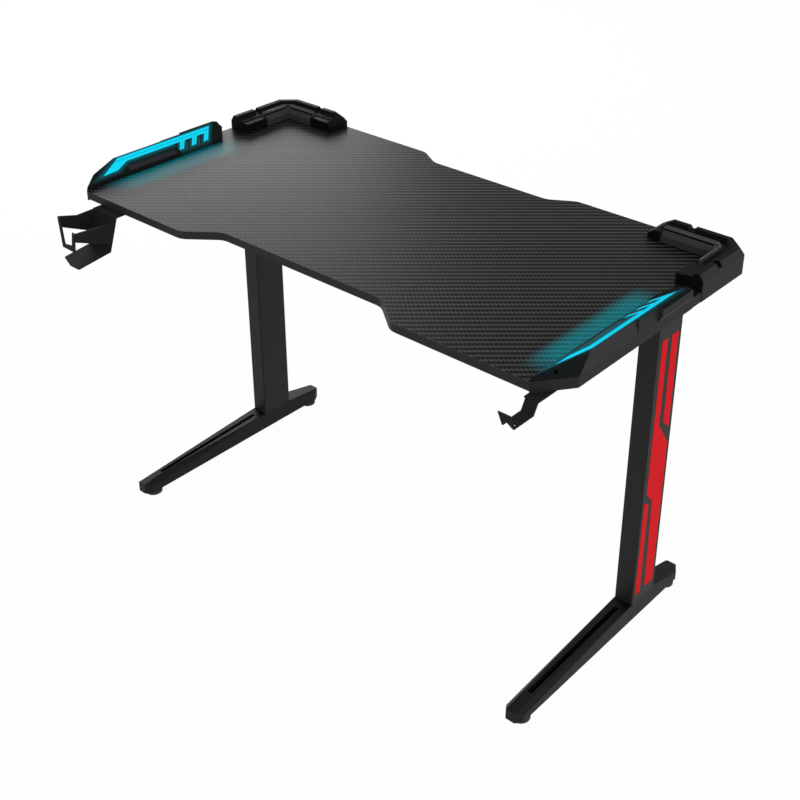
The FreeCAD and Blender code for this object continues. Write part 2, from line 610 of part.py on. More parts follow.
def corner_pieces(side, block_long):
    """Guard and trim for a right-hand corner, with the low block on its back arm as long as given."""
    guard = swept("corner_guard_" + side, guard_section, guard_path)
    block_side = box_loop("skirt_half - trim_to", "skirt_half - trim_from",
                          side_low, side_low + " + side_block")
    block_back = box_loop(back_end, "%s + %s" % (back_end, block_long),
                          "back_face - trim_to", "back_face - trim_from")
    for block in (block_side, block_back):
        grow(guard, sketch(guard, "XY_Plane", [block], ("0", "0", "top_height")), "block_rise")
    bevel = [(back_end + " - overrun", "top_height + end_rise"), (back_end, "top_height + end_rise"),
             (back_end + " + end_slope", crest), (back_end + " + end_slope", crest + " + overrun"),
             (back_end + " - overrun", crest + " + overrun")]
    bevel_sketch = sketch(guard, "XZ_Plane", [bevel], ("0", "0", "0 - back_face - overrun"))
    carve(guard, bevel_sketch, "trim_to + overrun * 2", back=True)
    gap_back = box_loop(back_end + " + ridge_gap_along", back_end + " + ridge_gap_along + ridge_gap",
                        "back_face - groove_from - short_overrun", "back_face + overrun")
    gap_side = box_loop("skirt_half - groove_from - short_overrun", "skirt_half + overrun",
                        side_low + " + side_block", side_low + " + side_block + notch_gap")
    for gap in (gap_back, gap_side):
        gap_sketch = sketch(guard, "XY_Plane", [gap], ("0", "0", "top_height + groove_rise"))
        carve(guard, gap_sketch, "guard_top_rise", back=True)
    guard_bores = sketch(guard, "XY_Plane", screw_holes(moulding_spots[2:]), ("0", "0", "top_height"))
    carve(guard, guard_bores, "moulding_screw_bite", back=True)
    trim_path = [("skirt_half", side_low + " + side_block + trim_gap")] + corner_path
    trim_path += [("%s + %s + trim_gap" % (back_end, block_long), "back_face")]
    return guard, swept("corner_trim_" + side, trim_section, trim_path)


for label, item in zip(("corner_guard", "corner_trim"), corner_pieces("right", "right_block")):
    seat(item, label + "_right")
for label, item in zip(("corner_guard", "corner_trim"), corner_pieces("left", "left_block")):
    settle(item)
    mirror_image(item, label + "_left")

# Leg: column of square tube on a tapering foot beam, both hollow.
column = new_body("leg_column")
tube = box_loop("column_in", "column_out", "column_front", "column_rear")
grow(column, sketch(column, "XY_Plane", [tube], ("0", "0", "foot_top")), "column_top - foot_top")
round_upright(column, "column_round", tube)
inside = box_loop("column_in + column_wall", "column_out - column_wall",
                  "column_front + column_wall", "column_rear - column_wall")
bore = sketch(column, "XY_Plane", [inside], ("0", "0", "foot_top"))
carve(column, bore, "column_top - foot_top", back=True)
beam_middle = "(beam_top + beam_bottom) / 2"
beam_bolt_spots = [("leg_back %s bolt_side" % side, beam_middle) for side in "+-"]
beam_bores = bolt_holes(beam_bolt_spots)
carve(column, sketch(column, "YZ_Plane", beam_bores, ("0", "0", "column_in + column_wall * 2")), "overrun")
seat(column, "leg_column_right")
mirror_image(column, "leg_column_left")


def foot_spot(side, across, along, height, skin):
    """A place on one side of the foot, moved in and down by the skin."""
    outward = value("%s - %s" % (across, skin))
    return Vector(value("leg_centre") + side * outward, value(along), value("%s - %s" % (height, skin)))


def foot_block(label, skin, shorter):
    """Beam that tapers to both ends with bevelled top edges, drawn in by the skin for its hollow."""
    body = new_body(label)
    front, rear = "%s - foot_front" % shorter, "foot_rear - %s" % shorter
    profile = [(front, "foot_clear + " + skin), (rear, "foot_clear + " + skin),
               (rear, "foot_rear_top - " + skin), ("column_rear", "foot_top - " + skin),
               ("column_front", "foot_top - " + skin), (front, "foot_front_top - " + skin)]
    profile_sketch = sketch(body, "YZ_Plane", [profile], ("0", "0", "leg_centre"))
    grow(body, profile_sketch, "column_wide - 2 * " + skin, both=True)
    for end, column_face, name in (("0 - foot_front", "column_front", "foot_front"),
                                   ("foot_rear", "column_rear", "foot_rear")):
        for side in (1, -1):
            upper = foot_spot(side, name + "_flat / 2", end, name + "_top", skin)
            lower = foot_spot(side, "foot_half", end, name + "_top - foot_bevel", skin)
            root = foot_spot(side, "foot_half", column_face, "foot_top", skin)
            if (side > 0) == (name == "foot_front"):
                slice_off(body, upper, lower, root)
            else:
                slice_off(body, upper, root, lower)
    return body


foot = foot_block("foot_beam", "0", "0")
hollow = foot.newObject("PartDesign::Boolean", "foot_hollow")
hollow.Type = "Cut"
hollow.addObject(foot_block("foot_space", "foot_wall", "foot_end_deep"))
doc.recompute()
corner_cuts = []
for side in "+-":
    edge = "leg_centre %s foot_half" % side
    inner = "leg_centre %s (foot_half - foot_corner_wide)" % side
    beyond = "leg_centre %s (foot_half + overrun)" % side
    corner_cuts.append([(edge, "foot_corner_deep - foot_front"), (inner, "0 - foot_front"),
                        (inner, "0 - foot_front - overrun"), (beyond, "0 - foot_front - overrun"),
                        (beyond, "foot_corner_deep - foot_front")])
    corner_cuts.append([(edge, "foot_rear - foot_corner_deep"), (inner, "foot_rear"),
                        (inner, "foot_rear + overrun"), (beyond, "foot_rear + overrun"),
                        (beyond, "foot_rear - foot_corner_deep")])
carve(foot, sketch(foot, "XY_Plane", corner_cuts), "foot_top", back=True)
slot = box_loop("leg_centre - slot_wide / 2", "leg_centre + slot_wide / 2",
                "slot_inset - foot_front", "column_front - slot_gap")
carve(foot, sketch(foot, "XY_Plane", [slot], ("0", "0", "foot_top")), "foot_top - foot_front_top + foot_wall")
column_bolt_spots = [("leg_centre", "leg_back %s bolt_spread / 2" % side) for side in "+-"]
pad_spots = {"front": "0 - pad_front", "rear": "pad_rear"}
floor_bores = [("leg_centre", along, "stud_radius + stud_slack") for along in pad_spots.values()]
floor_bores += [(x, y, "access_radius") for x, y in column_bolt_spots]
carve(foot, sketch(foot, "XY_Plane", floor_bores, ("0", "0", "foot_clear")), "foot_wall", back=True)
roof_bores = bolt_holes(column_bolt_spots)
carve(foot, sketch(foot, "XY_Plane", roof_bores, ("0", "0", "foot_top")), "foot_wall * 2")
seat(foot, "foot_beam_right")
mirror_image(foot, "foot_beam_left")

# Threaded plate in the bottom of the column, and the plate on top that carries the board.
plate = new_body("column_plate")
grow(plate, sketch(plate, "XY_Plane", [inside], ("0", "0", "foot_top")), "plate_thick")
carve(plate, sketch(plate, "XY_Plane", roof_bores, ("0", "0", "foot_top")), "plate_thick", back=True)
seat(plate, "column_plate_right")
mirror_image(plate, "column_plate_left")
bracket = new_body("top_bracket")
half_wide, half_long = "bracket_wide / 2", "bracket_long / 2"
sheet_edge = box_loop("leg_centre - " + half_wide, "leg_centre + " + half_wide,
                      "bracket_back - " + half_long, "bracket_back + " + half_long)
grow(bracket, sketch(bracket, "XY_Plane", [sheet_edge], ("0", "0", "column_top")), "bracket_thick")
round_upright(bracket, "bracket_round", sheet_edge)
bracket_bores = sketch(bracket, "XY_Plane", screw_holes(bracket_spots), ("0", "0", "column_top"))
carve(bracket, bracket_bores, "bracket_thick", back=True)
seat(bracket, "top_bracket_right")
mirror_image(bracket, "top_bracket_left")

# Beam between the columns, a closed tube with a flange welded on each end.
beam = new_body("cross_beam")
beam_ring = [box_loop("leg_back - beam_deep / 2", "leg_back + beam_deep / 2", "beam_bottom", "beam_top"),
             box_loop("leg_back - beam_deep / 2 + beam_wall", "leg_back + beam_deep / 2 - beam_wall",
                      "beam_bottom + beam_wall", "beam_top - beam_wall")]
grow(beam, sketch(beam, "YZ_Plane", beam_ring), "column_in * 2", both=True)
flange = box_loop("leg_back - flange_wide / 2", "leg_back + flange_wide / 2", "beam_bottom", "beam_top")
for base, back in (("column_in", True), ("0 - column_in", False)):
    grow(beam, sketch(beam, "YZ_Plane", [flange], ("0", "0", base)), "flange_thick", back=back)
carve(beam, sketch(beam, "YZ_Plane", beam_bores), "column_in * 2", both=True)
seat(beam, "cross_beam")

# Levellers: a plastic pad on a steel stud with a hexagon to turn it by, and a nut in the foot.
for end, along in pad_spots.items():
    pad = new_body("leveller_pad_" + end)
    grow(pad, sketch(pad, "XY_Plane", [("0", "0", "pad_radius")]), "pad_high")
    stud = new_body("leveller_stud_" + end)
    grip = sketch(stud, "XY_Plane", [hexagon("hex_radius")], ("0", "0", "pad_high"))
    grow(stud, grip, "foot_clear - pad_high")
    grow(stud, sketch(stud, "XY_Plane", [("0", "0", "stud_radius")], ("0", "0", "foot_clear")), "stud_rise")
    for item, label in ((pad, "leveller_pad_"), (stud, "leveller_stud_")):
        seat(item, label + end + "_right", "leg_centre", along)
        mirror_image(item, label + end + "_left")
nut = new_body("leveller_nut")
nut_ring = [hexagon("hex_radius"), ("0", "0", "stud_radius + stud_slack")]
grow(nut, sketch(nut, "XY_Plane", nut_ring), "nut_high")
nut_spots = [("leg_centre", along, "foot_clear + foot_wall") for along in pad_spots.values()]
group("leveller_nuts", nut, nut_spots, True)


# Fasteners, each drawn once and copied.
def fastener(name, head_radius, head, radius, long):
    """Hexagon head with a plain shank, standing on its head."""
    body = new_body(name)
    grow(body, sketch(body, "XY_Plane", [hexagon(head_radius)]), head)
    grow(body, sketch(body, "XY_Plane", [octagon("0", "0", radius)]), long)
    return body


board_screw = fastener("board_screw", "screw_head_radius", "screw_head", "screw_radius", "screw_long")
long_screw = fastener("long_screw", "screw_head_radius", "screw_head", "screw_radius",
                      "screw_head + board_thick + moulding_screw_bite * bite_share")
bolt = fastener("bolt", "bolt_head_radius", "bolt_head", "bolt_radius", "bolt_long")
group("bracket_screws", board_screw, [(x, y, "column_top - screw_head") for x, y in bracket_spots], True)
group("moulding_screws", long_screw, [(x, y, "board_bottom - screw_head") for x, y in moulding_spots], True)
group("cup_holder_screws", board_screw, [(x, y, "cup_under - screw_head") for x, y in cup_spots])
group("hook_screws", board_screw, [(x, y, "hook_under - screw_head") for x, y in hook_spots])
group("column_bolts", bolt, [(x, y, "foot_top - foot_wall - bolt_head") for x, y in column_bolt_spots], True)
bolt.Placement = FreeCAD.Placement(Vector(), FreeCAD.Rotation(Vector(0, 1, 0), 90))
doc.recompute()
group("beam_bolts", bolt, [("column_in - flange_thick - bolt_head", y, z) for y, z in beam_bolt_spots], True)

# Cup holder under the front left corner: bent plate with a tongue, and a ring with a dip for a handle.
holder = new_body("cup_holder")
back_plate = [("cup_tail - half_depth", "board_bottom"), ("0 - cup_bend", "board_bottom"),
              ("0 - cup_foot", "cup_low"), ("cup_sheet - cup_foot", "cup_low"),
              ("cup_sheet - cup_bend", "cup_under"), ("cup_tail - half_depth", "cup_under")]
grow(holder, sketch(holder, "YZ_Plane", [back_plate], ("0", "0", "0 - cup_left")), "cup_wide")
tongue = [("cup_sheet - cup_foot", "cup_low"), ("cup_sheet - cup_foot", "cup_low + cup_sheet"),
          ("0 - cup_foot", "cup_low + cup_sheet"), ("0 - cup_end", "cup_low + cup_sheet - cup_tongue_drop"),
          ("0 - cup_end", "cup_low - cup_tongue_drop"), ("0 - cup_foot", "cup_low")]
grow(holder, sketch(holder, "YZ_Plane", [tongue], ("0", "0", "0 - cup_right")), "tongue_wide", back=True)
tongue_left = "0 - cup_right - tongue_wide"
tongue_cut = [(tongue_left, "tongue_cut_deep - cup_end"), (tongue_left + " + tongue_cut_wide", "0 - cup_end"),
              (tongue_left + " + tongue_cut_wide", "0 - cup_end - overrun"),
              (tongue_left + " - overrun", "0 - cup_end - overrun"),
              (tongue_left + " - overrun", "tongue_cut_deep - cup_end")]
tongue_sketch = sketch(holder, "XY_Plane", [tongue_cut], ("0", "0", "cup_low - overrun"))
carve(holder, tongue_sketch, "overrun * 2", back=True)
far_arm = [("0 - far_run", "far_top"), ("0 - far_run", "far_top - far_front_high"),
           ("0 - cup_rake * (board_bottom - far_foot)", "far_foot"), ("0", "far_top - far_root_drop"),
           ("0 - far_run * far_dip_share", "far_top - far_dip")]
far_base = ("0 - cup_bend", "0", "0 - cup_left")
grow(holder, sketch(holder, "YZ_Plane", [far_arm], far_base, upright, "far_turn"), "cup_sheet")
near_arm = [("0 - ring_front", "arm_top"), ("0 - ring_front", "arm_top - near_front_high"),
            ("0 - cup_bend - cup_rake * (board_bottom - near_foot)", "near_foot"),
            ("0 - cup_bend", "arm_top - near_root_drop")]
grow(holder, sketch(holder, "YZ_Plane", [near_arm], ("0", "0", "0 - cup_right - cup_sheet")), "cup_sheet")
dip = "arm_top - strap_drop"
far_low = dip + " - strap_sink"
strap = [("0", "far_top"), ("strap_wide", "far_top"),
         ("strap_wide + strap_slope", far_low + " + strap_wide"),
         ("strap_long - strap_wide - strap_slope", dip + " + strap_wide"),
         ("strap_long - strap_wide", "arm_top"), ("strap_long", "arm_top"),
         ("strap_long - strap_slope", dip), ("strap_slope", far_low)]
strap_base = ("0 - ring_left", "0", "half_depth + far_arm_reach")
grow(holder, sketch(holder, "XZ_Plane", [strap], strap_base, upright, "strap_turn"), "cup_sheet")
cup_bores = sketch(holder, "XY_Plane", screw_holes(cup_spots), ("0", "0", "cup_under"))
carve(holder, cup_bores, "cup_sheet", back=True)
seat(holder, "cup_holder")

# Headphone hook under the front right corner: bent strip with a flared lip.
hook = new_body("headphone_hook")
ledge = box_loop("0 - hook_bend", "hook_tail - half_depth", "hook_under", "skirt_bottom")
grow(hook, sketch(hook, "YZ_Plane", [ledge], ("0", "0", "hook_left")), "hook_flange")
riser = box_loop("hook_left", "hook_left + hook_pad",
                 "hook_tail - half_depth - hook_pad_deep", "hook_tail - half_depth")
grow(hook, sketch(hook, "XY_Plane", [riser], ("0", "0", "skirt_bottom")), "board_bottom - skirt_bottom")
bent = [("0 - hook_bend", "skirt_bottom"), ("0 - hook_foot", "hook_floor"), ("0 - hook_end", "hook_floor"),
        ("0 - hook_end - hook_lip_out", "hook_floor + hook_lip"),
        ("0 - hook_end - hook_lip_out - hook_sheet", "hook_floor + hook_lip"),
        ("0 - hook_end - hook_sheet", "hook_floor - hook_sheet"),
        ("hook_sheet - hook_foot", "hook_floor - hook_sheet"),
        ("hook_sheet - hook_bend", "hook_under"), ("hook_sheet - hook_bend", "skirt_bottom")]
grow(hook, sketch(hook, "YZ_Plane", [bent], ("0", "0", "hook_side")), "hook_wide")
lip_middle = "hook_side + hook_wide / 2"
vee = [(lip_middle + " - hook_cut_wide", "hook_floor - hook_cut_high"),
       (lip_middle + " + hook_cut_wide", "hook_floor - hook_cut_high"),
       (lip_middle, "hook_floor + hook_cut_high")]
vee_sketch = sketch(hook, "XZ_Plane", [vee], ("0", "0", "hook_end - hook_cut_high"))
carve(hook, vee_sketch, "hook_cut_high + overrun", back=True)
hook_bores = sketch(hook, "XY_Plane", screw_holes(hook_spots), ("0", "0", "hook_under"))
carve(hook, hook_bores, "board_bottom - hook_under", back=True)
seat(hook, "headphone_hook")

# Red vinyl stripes on the outer face of the column.
stripes = new_body("leg_stripes")
first = "column_front + stripe_in"
second = "column_front + second_in"
third = "column_front + third_in"
main = "column_front + main_in"
stripe_top = "column_top * stripe_top_share"
block_top = "column_top * block_top_share"
block_foot = "column_top * block_foot_share"
second_foot = "column_top * second_foot_share"
third_top = "column_top * third_top_share"
main_foot = "foot_top + main_foot_rise"
third_foot = "foot_top + third_foot_rise"
stripe_loops = [
    [(first, stripe_top), (first + " + stripe_wide", stripe_top), (first + " + stripe_wide", block_top),
     (main + " + main_wide", block_top + " - block_slope"), (main + " + main_wide", main_foot),
     (main + " + main_taper", main_foot), (main, block_foot + " - block_slant"), (first, block_foot)],
    [(second, stripe_top), (second + " + second_wide", stripe_top), (second + " + second_wide", second_foot),
     (second, second_foot + " + second_slant")],
    [(third, third_top), (third + " + third_wide", third_top + " - third_slant"),
     (third + " + third_wide", third_foot), (third, third_foot)]]
grow(stripes, sketch(stripes, "YZ_Plane", stripe_loops, ("0", "0", "column_out")), "stripe_thick")
seat(stripes, "leg_stripes_right")
mirror_image(stripes, "leg_stripes_left")

doc.recompute()
for item in doc.Objects:
    if "Invalid" in item.State or "Error" in item.State or "Touched" in item.State:
        raise RuntimeError("%s did not build" % item.Name)
os.makedirs("parts", exist_ok=True)
for label, item in pieces.items():
    shape = item.Shape
    if shape.isNull() or not shape.isValid():
        raise RuntimeError("%s did not build" % label)
    shape.exportStep("parts/%s.step" % label)
    print(label, round(shape.Volume), len(shape.Solids))
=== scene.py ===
# %% [markdown]
# # Gaming desk: finishes, light and camera
# The shapes come from the CAD model and stay as they are.  Each finish below is made of shader nodes, not
# of pictures, so it stays sharp at any distance and needs no unwrapping.  Every step says first what the
# thing is on the real desk, then how it could be made, and why it is made this way.

# %% Load the desk
import math

import bpy
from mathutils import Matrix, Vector


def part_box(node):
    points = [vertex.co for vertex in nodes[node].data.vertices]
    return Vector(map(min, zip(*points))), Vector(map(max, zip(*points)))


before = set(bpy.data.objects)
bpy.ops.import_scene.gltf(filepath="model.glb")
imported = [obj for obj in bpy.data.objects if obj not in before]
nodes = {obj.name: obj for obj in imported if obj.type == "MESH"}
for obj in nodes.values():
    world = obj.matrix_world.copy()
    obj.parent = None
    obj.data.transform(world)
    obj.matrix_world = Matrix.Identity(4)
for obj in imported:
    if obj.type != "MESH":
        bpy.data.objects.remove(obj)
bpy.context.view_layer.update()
millimetre = 0.001
sheet_low, sheet_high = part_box("carbon_laminate")
middle_y = (sheet_low.y + sheet_high.y) / 2
print("pieces:", len(nodes), "middle of the top at y =", round(middle_y, 4))

# %% [markdown]
# ## A small helper for shader arithmetic
# A finish is mostly arithmetic on positions.  It could be wired node by node, but forty lines of links hide
# the idea.  The class wraps one node output and overloads the operators, so that a weave or a halo reads
# like an ordinary sum, and one method adds any other node.

# %% Shader arithmetic
class Wire:
    """One output of a shader node."""

    def __init__(self, tree, socket):
        self.tree = tree
        self.socket = socket

    def node(self, kind, *inputs, **settings):
        """Add a node, plug in wires or numbers in order of its inputs, and return one output."""
        return add_node(self.tree, kind, *inputs, **settings)

    def maths(self, operation, *values):
        return self.node("ShaderNodeMath", *values, operation=operation)

    def __add__(self, other):
        return self.maths("ADD", self, other)

    def __radd__(self, other):
        return self.maths("ADD", other, self)

    def __sub__(self, other):
        return self.maths("SUBTRACT", self, other)

    def __rsub__(self, other):
        return self.maths("SUBTRACT", other, self)

    def __mul__(self, other):
        return self.maths("MULTIPLY", self, other)

    def __rmul__(self, other):
        return self.maths("MULTIPLY", other, self)

    def __truediv__(self, other):
        return self.maths("DIVIDE", self, other)

    def __rtruediv__(self, other):
        return self.maths("DIVIDE", other, self)

    def __mod__(self, other):
        return self.maths("FLOORED_MODULO", self, other)

    def __lt__(self, other):
        return self.maths("LESS_THAN", self, other)

    def __gt__(self, other):
        return self.maths("GREATER_THAN", self, other)

    def floor(self):
        return self.maths("FLOOR", self)

    def size(self):
        return self.maths("ABSOLUTE", self)

    def root(self):
        return self.maths("SQRT", self)

    def least(self, other):
        return self.maths("MINIMUM", self, other)

    def most(self, other):
        return self.maths("MAXIMUM", self, other)

    def between(self, low, high):
        """1 from low to high, 0 elsewhere."""
        return (self > low) * (self < high)

    def ramp(self, start, stop):
        """Smoothly from 0 at start to 1 at stop."""
        return self.node("ShaderNodeMapRange", self, start, stop, 0.0, 1.0, interpolation_type="SMOOTHSTEP")

    def blend(self, first, second):
        """First colour where this wire is 0, second where it is 1."""
        return self.node("ShaderNodeMix", self, first, second, data_type="RGBA", out="Result",
                         named=("Factor", "A", "B"))


def add_node(tree, kind, *inputs, out=0, named=None, **settings):
    """Add any node: settings first, then wires or values in order of its inputs or of the names given."""
    node = tree.nodes.new(kind)
    for name, setting in settings.items():
        setattr(node, name, setting)
    sockets = [one for one in node.inputs if one.enabled]
    if named:
        sockets = [[one for one in sockets if one.name == name][0] for name in named]
    for socket, given in zip(sockets, inputs):
        if isinstance(given, Wire):
            tree.links.new(given.socket, socket)
        elif given is not None:
            socket.default_value = given
    outputs = [one for one in node.outputs if one.enabled]
    chosen = outputs[out] if isinstance(out, int) else [one for one in outputs if one.name == out][0]
    return Wire(tree, chosen)


print("methods of a wire:", sum(callable(one) for one in vars(Wire).values()))

# %% [markdown]
# ## From a drawing function to a material
# A finish is a function of the position: it gets x, y and z as wires and returns what changes over the
# surface.  What stays the same is set on the shader directly.  Object coordinates are used, so a finish
# moves with its piece; every piece is stored at the origin, so they are also places on the desk.

# %% Colours and materials
black = (0.0, 0.0, 0.0, 1.0)
white = (1.0, 1.0, 1.0, 1.0)


def colour(red, green, blue):
    """A colour as a screen shows it, from 0 to 255, turned into the linear values that shaders use."""
    def linear(level):
        share = level / 255
        return share / 12.92 if share <= 0.04045 else ((share + 0.055) / 1.055) ** 2.4
    return linear(red), linear(green), linear(blue), 1.0


def grey(level):
    return colour(level, level, level)


def finish(name, draw, hole=None, **constants):
    """A material whose drawing function gets a position wire and x, y, z and returns what changes.

    Where a second function of x and y gives 1, the surface is painted shade, black like the inside of a
    hole.
    """
    material = bpy.data.materials.new(name)
    material.use_nodes = True
    tree = material.node_tree
    surface = tree.nodes["Principled BSDF"]
    where = add_node(tree, "ShaderNodeTexCoord", out="Object")
    x, y, z = (where.node("ShaderNodeSeparateXYZ", where, out=axis) for axis in "XYZ")
    for socket_name, given in {**constants, **draw(where, x, y, z)}.items():
        socket = surface.inputs[socket_name.replace("_", " ")]
        if isinstance(given, Wire):
            tree.links.new(given.socket, socket)
        else:
            socket.default_value = given
    if hole:
        # Painted shade: a black surface with no mirror light, mixed in where the second function gives 1.
        painted_hole_shade = add_node(tree, "ShaderNodeBsdfPrincipled", black, 0.0,
                         named=("Base Color", "Specular IOR Level"))
        coat = Wire(tree, surface.outputs[0])
        both = add_node(tree, "ShaderNodeMixShader", hole(x, y), coat, painted_hole_shade)
        tree.links.new(both.socket, tree.nodes["Material Output"].inputs["Surface"])
    return material


def dress(material, *starts):
    """Give a material to every piece whose name begins with one of the words."""
    chosen = [name for name in nodes if name.startswith(starts)]
    for name in chosen:
        nodes[name].data.materials.clear()
        nodes[name].data.materials.append(material)
    print(material.name, "on", len(chosen), "pieces")


print("mid grey on a screen is", round(grey(128)[0], 3), "in light")

# %% [markdown]
# ## Grain and relief
# Plastic, paint and film all have a fine texture.  It could be modelled, at the cost of millions of faces;
# noise that tips the shading normal gives the same look.

# %% Grain and relief
def noise(where, scale, detail=3.0):
    return where.node("ShaderNodeTexNoise", where, scale, detail, named=("Vector", "Scale", "Detail"))


def bump(height, strength, distance):
    return height.node("ShaderNodeBump", strength, distance, height, out="Normal",
                       named=("Strength", "Distance", "Height"))


cloud_scale, cloud_detail, cloud_share = 14.0, 2.0, 0.5
cloud_roughness, grain_strength = 0.1, 0.25


def grained(dark, light, grain, roughness, depth):
    """A drawing function: fine grain with a relief of the given depth, and slow clouds of tone."""
    def draw(where, x, y, z):
        fine = noise(where, grain)
        cloud = noise(where, cloud_scale, cloud_detail)
        tone = (fine * (1.0 - cloud_share) + cloud * cloud_share).blend(dark, light)
        return dict(Base_Color=tone, Roughness=roughness + (cloud - 0.5) * cloud_roughness,
                    Normal=bump(fine, grain_strength, depth))
    return draw


grain_swing = 5
fine_depth = 0.1 * millimetre


def satin(name, level, grain, roughness, specular, depth=fine_depth):
    """A near-black finish of the given screen level."""
    drawing = grained(grey(level - grain_swing), grey(level + grain_swing), grain, roughness, depth)
    return finish(name, drawing, Specular_IOR_Level=specular)


print("a dark finish swings", grain_swing, "screen levels either way")

# %% [markdown]
# ## Where things are on a light bar
# Several finishes need to know how far a point lies along the bar and how far up its inner slope.  The
# lean of the slope is worked out from the box of the light guide, whose height on the slope and thickness
# are known; both bars are mirror images, so the size of x serves for both.

# %% Bar measures, in millimetres
board_half = 300 * millimetre
bar_front = middle_y - board_half
guide_top, guide_low, guide_thick = 42.5, 28.5, 3.0
tooth_low, tooth_wide, tooth_pitch, tooth_lean = 9.0, 12.0, 33.4, 0.87
tooth_start, guide_rear = 246.0, 354.0
guide_from, guide_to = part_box("light_guide_right")
face = guide_top - tooth_low
wide = (guide_to.x - guide_from.x) / millimetre
high = (guide_to.z - guide_from.z) / millimetre
slope = math.atan2(face * high - guide_thick * wide, face * wide - guide_thick * high)
print("inner slope:", round(math.degrees(slope), 1), "degrees")


def on_bar(x, y):
    """Millimetres along the bar from the front edge, up the slope, and from the start of a tooth."""
    along = (y - bar_front) / millimetre
    up = (x.size() - guide_from.x) / (math.cos(slope) * millimetre) + tooth_low
    tooth = (along - tooth_start - (up - tooth_low) * tooth_lean) % tooth_pitch
    return along, up, tooth


# %% [markdown]
# ## The weave of the carbon-look sheet
# The top is a printed film: a two-over-two twill of flat tows.  A tow that runs along the desk shows
# lighter where it lies on top, so rows of short dashes climb across the sheet at forty-five degrees.
# A picture of carbon cloth would repeat and blur.  Here the weave is worked out per tow from the position:
# which tow lies on top, and how far the point is from the crown of that tow.

# %% Weave
tow_wide, tow_deep = 5.3 * millimetre, 4.65 * millimetre
repeat, over = 4.0, 2.0
cross_tow_share = 0.2


def twill(x, y):
    """Height of the weave from 0 in the joints to 1 on the crown of a lengthwise tow."""
    across = x / tow_wide
    along = y / tow_deep
    column = across.floor()
    row = along.floor()
    lengthwise = ((column - row) % repeat) < over
    side = (along - row) * 2.0 - 1.0
    float_end = (across - row) % repeat - over / 2
    rounded = float_end * float_end
    crown = (1.0 - side * side) * (1.0 - rounded * rounded).most(0.0)
    cross_side = (across - column) * 2.0 - 1.0
    return lengthwise * crown + (1.0 - lengthwise) * (1.0 - cross_side * cross_side) * cross_tow_share


print("tows on the sheet:", round((sheet_high.x - sheet_low.x) / tow_wide), "by",
      round((sheet_high.y - sheet_low.y) / tow_deep))

# %% [markdown]
# ## The teal sheen beside the light bars
# On the real desk the bars throw a soft teal patch on the film.  Letting the guides light the film would
# take strong lamps that also tint the rest of the desk.  So the patch is drawn: strongest near the bar,
# and fading across and along it.  The right patch is a little narrower and brighter, as it looks from
# the right.

# %% Teal sheen
sheen_left, sheen_right, sheen_outer = 0.470, 0.492, 0.580
sheen_along, sheen_reach = -0.095, 0.18
sheen_plateau = 0.7


def teal_sheen(x, y):
    """How much of the sheen lies on a point of the film, from 0 to 1."""
    sheen_inner = sheen_left + (x > 0.0) * (sheen_right - sheen_left)
    half = (sheen_outer - sheen_inner) / 2.0
    off = (x.size() - sheen_outer + half) / half
    reach = (y - middle_y - sheen_along) / sheen_reach
    return (1.0 - off * off).ramp(0.0, 1.0) * (1.0 - reach * reach).ramp(0.0, sheen_plateau)


print("sheen from y =", round(middle_y + sheen_along - sheen_reach, 3), "to",
      round(middle_y + sheen_along + sheen_reach, 3))

# %% [markdown]
# ## The dark line where mouldings meet the film
# Little light gets into the corner between a moulding and the top.  A renderer finds some of it, but the
# mouldings sit so close that the real line is darker.  It is drawn from the distance to the feet of the
# guards and bars, which come from the boxes of those pieces.

# %% Distance from the mouldings
trim_deep = 54 * millimetre
guard_from, guard_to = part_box("corner_guard_right")
guard_inner = guard_to - Vector((trim_deep, trim_deep, 0.0))
bar_from, bar_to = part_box("light_bar_housing_right")
shade_start, shade_stop = -6 * millimetre, 14 * millimetre
bar_quickness = 3.2


def past(value, edge):
    """How far a value falls short of an edge, not less than zero."""
    return (edge - value).most(0.0)


def clear_of_mouldings(x, y):
    """0 under a moulding, 1 a finger's width away from it."""
    arm = past(x.size(), guard_inner.x)
    arm_end = past(y, guard_from.y)
    back = past(y, guard_inner.y)
    back_end = past(x.size(), guard_from.x)
    near_arm = (arm * arm + arm_end * arm_end).root()
    near_back = (back * back + back_end * back_end).root()
    near_bar = past(x.size(), bar_from.x) + (y - bar_to.y).most(0.0)
    nearest = near_arm.least(near_back).least(near_bar * bar_quickness)
    return nearest.ramp(shade_start, shade_stop)


print("film darkens within", round(shade_stop / millimetre), "mm of a guard")

# %% [markdown]
# ## Carbon-look sheet
# The three drawings above come together in one finish: the print, tinted by the painted teal sheen and
# glowing with it as painted light, with painted shade at the mouldings.  The gaps between tows are glossier
# than their crowns, which keeps the weave visible where the film mirrors the light, at the far left.

# %% Carbon-look sheet
fleck_grain, fleck_least, fleck_swing = 900.0, 0.8, 0.4
sheen_cover = 0.92
left_shine, gap_glow, crown_glow = 0.66, 0.45, 0.75
gap_roughness, crown_roughness = 0.37, 0.12
weave_strength, weave_depth = 0.05, 0.2 * millimetre


